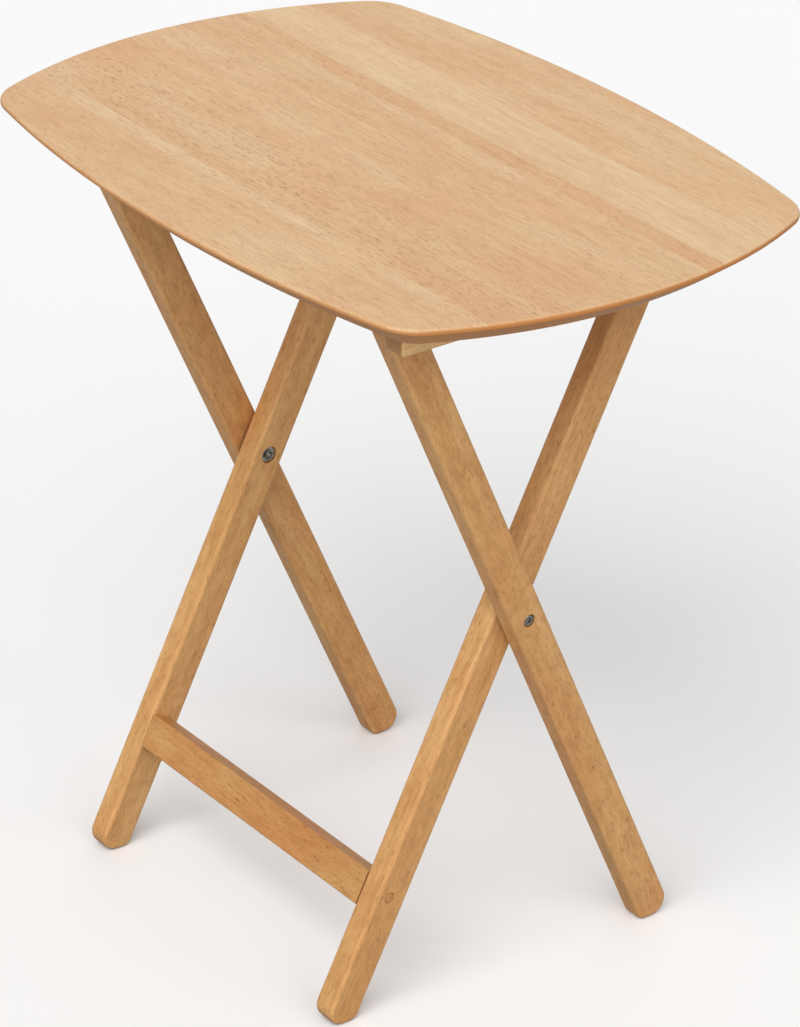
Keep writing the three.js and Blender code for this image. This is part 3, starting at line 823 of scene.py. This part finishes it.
def nut_shape():
    """A hexagon nut from x = 0 to its height, its corners rounded off by turning."""
    corner = NUT_ACROSS_FLATS / 2 / math.cos(math.pi / 6)
    flat = NUT_ACROSS_FLATS / 2
    soft = 0.0006
    height = NUT_HEIGHT
    prism = turned([(0, 0), (0, corner), (height, corner), (height, 0)], 6, Matrix())
    rows = [(0, 0), (0, flat * 0.97), (soft, corner * 1.01)]
    rows += [(height - soft, corner * 1.01), (height, flat * 0.97), (height, 0)]
    barrel = turned(rows, 48, Matrix())
    blank = cut_away(prism, [barrel], "INTERSECT")
    bore = drill(Vector((0, 0, 0)), Vector((1, 0, 0)), BOLT_SHANK, 0.006, sides=32)
    return cut_away(blank, [bore])


def ring_shape(radius, height):
    """A washer from x = 0 to its height, its outer edges slightly rolled by the punch."""
    soft = height * 0.3
    rows = [
        (0, BOLT_SHANK), (0, radius - soft), (soft * 0.3, radius - soft * 0.3), (soft, radius),
        (height - soft, radius), (height - soft * 0.3, radius - soft * 0.3),
        (height, radius - soft), (height, BOLT_SHANK),
    ]
    return turned(rows, 48, Matrix())


def both(part):
    return [f"{part}_{side}" for side in SIDES]


def end_marks(part, outward, from_outside):
    """A mark for a part at each side, at its outer or inner end, pointing outward or inward."""
    marks = []
    for side, sign in SIDES.items():
        low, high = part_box(f"{part}_{side}")
        middle = (low + high) / 2
        face = high.x if (sign > 0) == from_outside else low.x
        toward = Vector((sign if outward else -sign, 0, 0))
        marks.append((Vector((face, middle.y, middle.z)), toward))
    return marks


def part_length(part):
    low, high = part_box(f"{part}_right")
    return high.x - low.x


fixings(
    "scissor_bolts", bolt_shape(part_length("scissor_bolt")),
    end_marks("scissor_bolt", False, True), bright_steel, 7, "outer_frame", "steel",
    *both("scissor_bolt"),
)
fixings(
    "tray_pivot_screws", bolt_shape(part_length("tray_pivot_screw")),
    end_marks("tray_pivot_screw", True, False), bright_steel, 9, "tray", "steel",
    *both("tray_pivot_screw"),
)
fixings(
    "scissor_nuts", nut_shape(), end_marks("scissor_nut", True, False), bright_steel, 2,
    "outer_frame", "steel", *both("scissor_nut"),
)
for part in ("washer", "spacer"):
    low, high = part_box(f"scissor_{part}_right")
    ring = ring_shape((high.z - low.z) / 2, high.x - low.x)
    marks = [
        mark for kind in ("scissor", "tray_pivot")
        for mark in end_marks(f"{kind}_{part}", True, False)
    ]
    fixings(
        f"pivot_{part}s", ring, marks, zinc_plate, 5, "outer_frame", "zinc_plated",
        *both(f"scissor_{part}"), *both(f"tray_pivot_{part}"),
    )

# ------------------------------------------------------------------------------ inner legs
# Two legs between the outer ones, joined by the stretcher near the floor and by the catch rod
# through their tops. The scissor bolts' nuts sit in round recesses in the faces that look in.

NUT_RECESS = 0.0036
ROD_HOLE = 0.0083
PIN_HOLE = 0.0013
PLUG_HOLE = 0.0045
DOWEL_HOLE = 0.0033
STRETCHER_SCREW_DEPTH = 0.07
PIN_DEPTH = 0.021

catch = centre("catch_rod")
inner_lean = math.atan2(scissor.y - catch.y, catch.z - scissor.z)
inner_reach = math.hypot(scissor.y - catch.y, catch.z - scissor.z)
up_the_leg = Vector((0, -math.sin(inner_lean), math.cos(inner_lean)))


def stretcher_bores(side, sign, face_x):
    """The tools for the stretcher's screw and dowel at one side, drilled inward from face_x."""
    inward = Vector((-sign, 0, 0))
    screw = centre(f"stretcher_screw_{side}")
    dowel_low, dowel_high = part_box(f"stretcher_dowel_{side}")
    dowel = (dowel_low + dowel_high) / 2
    dowel_out = dowel_high.x if sign > 0 else dowel_low.x
    deep = dowel_high.x - dowel_low.x + 0.001
    place = Vector((dowel_out + sign * 0.0005, dowel.y, dowel.z))
    rows = [(0, 0), (0, DOWEL_HOLE), (deep, DOWEL_HOLE), (deep, 0)]
    return [
        drill(Vector((face_x, screw.y, screw.z)), inward, SCREW_PILOT, STRETCHER_SCREW_DEPTH, sides=16),
        turned(rows, 24, heading(place, inward)),
    ]


for side, sign in SIDES.items():
    low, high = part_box(f"inner_leg_{side}")
    middle_x = (low.x + high.x) / 2
    outside, inside = (high.x, low.x) if sign > 0 else (low.x, high.x)
    blank = leg_board(middle_x, high.x - low.x, inner_lean, inner_reach)
    inward = Vector((-sign, 0, 0))
    plug = centre(f"stretcher_plug_{side}")
    screw_low, screw_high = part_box(f"stretcher_screw_{side}")
    head_x = screw_high.x if sign > 0 else screw_low.x
    leg_top = catch + up_the_leg * LEG_WIDTH / 2
    leg_top.x = middle_x
    washer = Vector((inside, scissor.y, scissor.z))
    tools = [
        drill(washer, -inward, NUT_MOUTH, NUT_RECESS, BOLT_SHANK, THROUGH),
        drill(Vector((outside, catch.y, catch.z)), inward, ROD_HOLE, THROUGH),
        drill(Vector((outside, plug.y, plug.z)), inward, PLUG_HOLE, abs(outside - head_x) + 0.002),
        drill(leg_top, -up_the_leg, PIN_HOLE, PIN_DEPTH, sides=20),
        *stretcher_bores(side, sign, outside),
    ]
    finish = leg_finish(f"inner_leg_wood_{side}", inner_lean, 57.0 + 6.0 * sign)
    mesh = smooth_shaded(cut_away(blank, tools))
    piece(f"inner_leg_board_{side}", mesh, finish, "inner_frame", "leg_wood", f"inner_leg_{side}")

# ----------------------------------------------------------------- stretcher and its fixings
# One flat stretcher joins the inner legs a hand's width above the floor. At each end a fluted
# dowel keeps it from turning, and a long screw draws it tight, hidden by a flush wooden plug.

STRETCHER_WIDTH = 0.0295
STRETCHER_THICKNESS = 0.018
STRETCHER_ARRIS = 0.0018
STRETCHER_FIT = 0.00028
PLUG_RADIUS = 0.0042
DOWEL_RADIUS = 0.00275
DOWEL_FLUTE = 0.00025
DOWEL_CHAMFER = 0.001

stretcher_wood = lacquered_wood(
    "stretcher_wood", RAIL_TONES, (0, 0, 0), (1, 0, 0), 71.0, pores=0.8, flecks=0.9, mottle=0.26
)
plug_wood = lacquered_wood(
    "plug_wood", RAIL_TONES, (-inner_lean, math.pi / 2, 0), tuple(up_the_leg), 83.0, pores=0.8, flecks=0.2
)

low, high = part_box("lower_stretcher")
half_width = STRETCHER_WIDTH / 2
half_thickness = STRETCHER_THICKNESS / 2
section = rounded_outline([
    (-half_thickness, -half_width, STRETCHER_ARRIS),
    (half_thickness, -half_width, STRETCHER_ARRIS),
    (half_thickness, half_width, STRETCHER_ARRIS),
    (-half_thickness, half_width, STRETCHER_ARRIS),
])
place = Matrix.Translation((low + high) / 2) @ Matrix.Rotation(inner_lean, 4, "X") @ STANDING
blank = board(section, high.x - low.x + 2 * STRETCHER_FIT, 0.0002, place, steps=2)
tools = [tool for side, sign in SIDES.items() for tool in stretcher_bores(side, sign, sign * high.x)]
piece(
    "stretcher_rail", smooth_shaded(cut_away(blank, tools)), stretcher_wood, "inner_frame", "rail_wood",
    "lower_stretcher",
)


fixings(
    "stretcher_screws", wood_screw(part_length("stretcher_screw"), 0.0038),
    end_marks("stretcher_screw", False, True), zinc_plate, 6, "inner_frame", "zinc_plated",
    *both("stretcher_screw"),
)
plug_length = part_length("stretcher_plug")
plug_rows = [(0.00002, 0), (0, PLUG_RADIUS * 0.6), (0.00006, PLUG_RADIUS - 0.0002), (0.0003, PLUG_RADIUS)]
plug_rows += [(plug_length, PLUG_RADIUS * 0.97), (plug_length, 0)]
fixings(
    "stretcher_plugs", turned(plug_rows, 40, Matrix()),
    end_marks("stretcher_plug", False, True), plug_wood, 1, "inner_frame", "plug_wood",
    *both("stretcher_plug"),
)
dowel_length = part_length("stretcher_dowel")
dowel_rows = [(0, 0), (0, DOWEL_RADIUS - DOWEL_CHAMFER / 2), (DOWEL_CHAMFER, DOWEL_RADIUS, DOWEL_FLUTE)]
dowel_rows += [
    (dowel_length - DOWEL_CHAMFER, DOWEL_RADIUS, DOWEL_FLUTE),
    (dowel_length, DOWEL_RADIUS - DOWEL_CHAMFER / 2), (dowel_length, 0),
]
fixings(
    "stretcher_dowels", turned(dowel_rows, 80, Matrix(), starts=20),
    end_marks("stretcher_dowel", False, True), stretcher_wood, 1, "inner_frame", "rail_wood",
    *both("stretcher_dowel"),
)

# --------------------------------------------------------------------- catch rod and its pins
# A turned rod runs through the tops of the inner legs and sticks out on both sides, where the
# cleats' notches hook over it. A headless steel pin through each leg's top keeps it in place.

ROD_CHAMFER = 0.0015

rod_wood = lacquered_wood("rod_wood", RAIL_TONES, (0, 0, 0), (1, 0, 0), 97.0, pores=0.7, flecks=0.2)
low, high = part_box("catch_rod")
rod_radius = (high.z - low.z) / 2
rod_half = high.x
rod_rows = [(-rod_half, 0), (-rod_half, rod_radius - ROD_CHAMFER)]
rod_rows += [
    (-rod_half + ROD_CHAMFER * (1 - math.cos(a)), rod_radius - ROD_CHAMFER * (1 - math.sin(a)))
    for a in (math.pi / 8 * k for k in range(1, 5))
]
rod_rows += [(-rod_half + 0.02 + 0.01 * k, rod_radius) for k in range(3)]
rod_rows += [(-x, radius) for x, radius in reversed(rod_rows)]
rod_blank = turned(rod_rows, 64, Matrix.Translation((0, catch.y, catch.z)))
pin_tools = []
for side in SIDES:
    top = catch + up_the_leg * LEG_WIDTH / 2
    top.x = centre(f"catch_rod_pin_{side}").x
    rows = [(0, 0), (0, PIN_HOLE), (PIN_DEPTH, PIN_HOLE), (PIN_DEPTH, 0)]
    pin_tools.append(turned(rows, 20, heading(top, -up_the_leg)))
piece(
    "catch_rod_bar", smooth_shaded(cut_away(rod_blank, pin_tools)), rod_wood, "inner_frame", "rail_wood",
    "catch_rod",
)
PIN_RADIUS = 0.001
PIN_LENGTH = 0.020
PIN_CHAMFER = 0.0003
pin_rows = [(0, 0), (0, PIN_RADIUS - PIN_CHAMFER), (PIN_CHAMFER, PIN_RADIUS)]
pin_rows += [(PIN_LENGTH - PIN_CHAMFER, PIN_RADIUS), (PIN_LENGTH, PIN_RADIUS - PIN_CHAMFER)]
pin_rows += [(PIN_LENGTH, 0)]
pin_marks = [
    (centre(name) + up_the_leg * PIN_LENGTH / 2, -up_the_leg) for name in both("catch_rod_pin")
]
fixings(
    "catch_rod_pins", turned(pin_rows, 20, Matrix()), pin_marks, zinc_plate, 3, "inner_frame",
    "zinc_plated", *both("catch_rod_pin"),
)

# -------------------------------------------------------------------- floor, light and camera
# The table stands on a plain pale floor in a pale room, under a broad light from the front,
# with weaker soft lights from its side and from behind. The floor throws little light back up.

FLOOR_SIZE = 14.0

floor_mesh = bpy.data.meshes.new("floor")
reach = FLOOR_SIZE / 2
floor_mesh.from_pydata(
    [(-reach, -reach, 0), (reach, -reach, 0), (reach, reach, 0), (-reach, reach, 0)], [], [(0, 1, 2, 3)]
)
floor_paint = bpy.data.materials.new("floor_paint")
floor_paint.use_nodes = True
floor_tree = floor_paint.node_tree
floor_shader = floor_tree.nodes["Principled BSDF"]
floor_seen = node(floor_tree, "ShaderNodeLightPath").outputs["Is Camera Ray"]
floor_tone = mixed(floor_tree, floor_seen, (0.42, 0.42, 0.42, 1), (0.94, 0.94, 0.94, 1))
floor_tree.links.new(floor_tone, floor_shader.inputs["Base Color"])
floor_shader.inputs["Roughness"].default_value = 0.9
floor_mesh.materials.append(floor_paint)
floor = bpy.data.objects.new("floor", floor_mesh)
bpy.context.collection.objects.link(floor)


def soft_light(name, toward, strength, spread):
    """A very broad distant light that comes from the direction toward."""
    lamp = bpy.data.lights.new(name, "SUN")
    lamp.energy = strength
    lamp.angle = math.radians(spread)
    light = bpy.data.objects.new(name, lamp)
    light.rotation_mode = "QUATERNION"
    light.rotation_quaternion = Vector(toward).to_track_quat("Z", "Y")
    bpy.context.collection.objects.link(light)


soft_light("main_light", (0.30, -0.66, 0.69), 2.1, 50)
soft_light("side_light", (0.90, 0.05, 0.43), 0.85, 60)
soft_light("back_light", (-0.60, 0.70, 0.40), 0.35, 60)

ROOM_LIGHT = 0.40
ROOM_PALENESS = 0.92

room = bpy.data.worlds.new("room")
room.use_nodes = True
room_tree = room.node_tree
seen = node(room_tree, "ShaderNodeLightPath").outputs["Is Camera Ray"]
level = math_node(room_tree, "MULTIPLY_ADD", seen, ROOM_PALENESS - ROOM_LIGHT, ROOM_LIGHT)
room_tree.nodes["Background"].inputs["Color"].default_value = (1, 1, 1, 1)
room_tree.links.new(level, room_tree.nodes["Background"].inputs["Strength"])
bpy.context.scene.world = room
bpy.context.scene.view_settings.view_transform = "Standard"

VIEW_AZIMUTH = math.radians(50.0)
VIEW_ELEVATION = math.radians(28.0)
VIEW_ROLL = math.radians(3.02)
VIEW_DISTANCE = 3.3886
VIEW_TARGET = Vector((0, 0, 0.330))
VIEW_OFFSET = Vector((0.0210, 0.0127, 0))
LENS = 147.71

level = math.cos(VIEW_ELEVATION)
back = Vector((
    math.sin(VIEW_AZIMUTH) * level, -math.cos(VIEW_AZIMUTH) * level, math.sin(VIEW_ELEVATION)
))
turn = back.to_track_quat("Z", "Y").to_matrix() @ Matrix.Rotation(VIEW_ROLL, 3, "Z")
camera = bpy.data.objects.new("camera", bpy.data.cameras.new("camera"))
camera.data.lens = LENS
camera.location = VIEW_TARGET + back * VIEW_DISTANCE + turn @ VIEW_OFFSET
camera.rotation_mode = "QUATERNION"
camera.rotation_quaternion = turn.to_quaternion()
bpy.context.collection.objects.link(camera)
bpy.context.scene.camera = camera
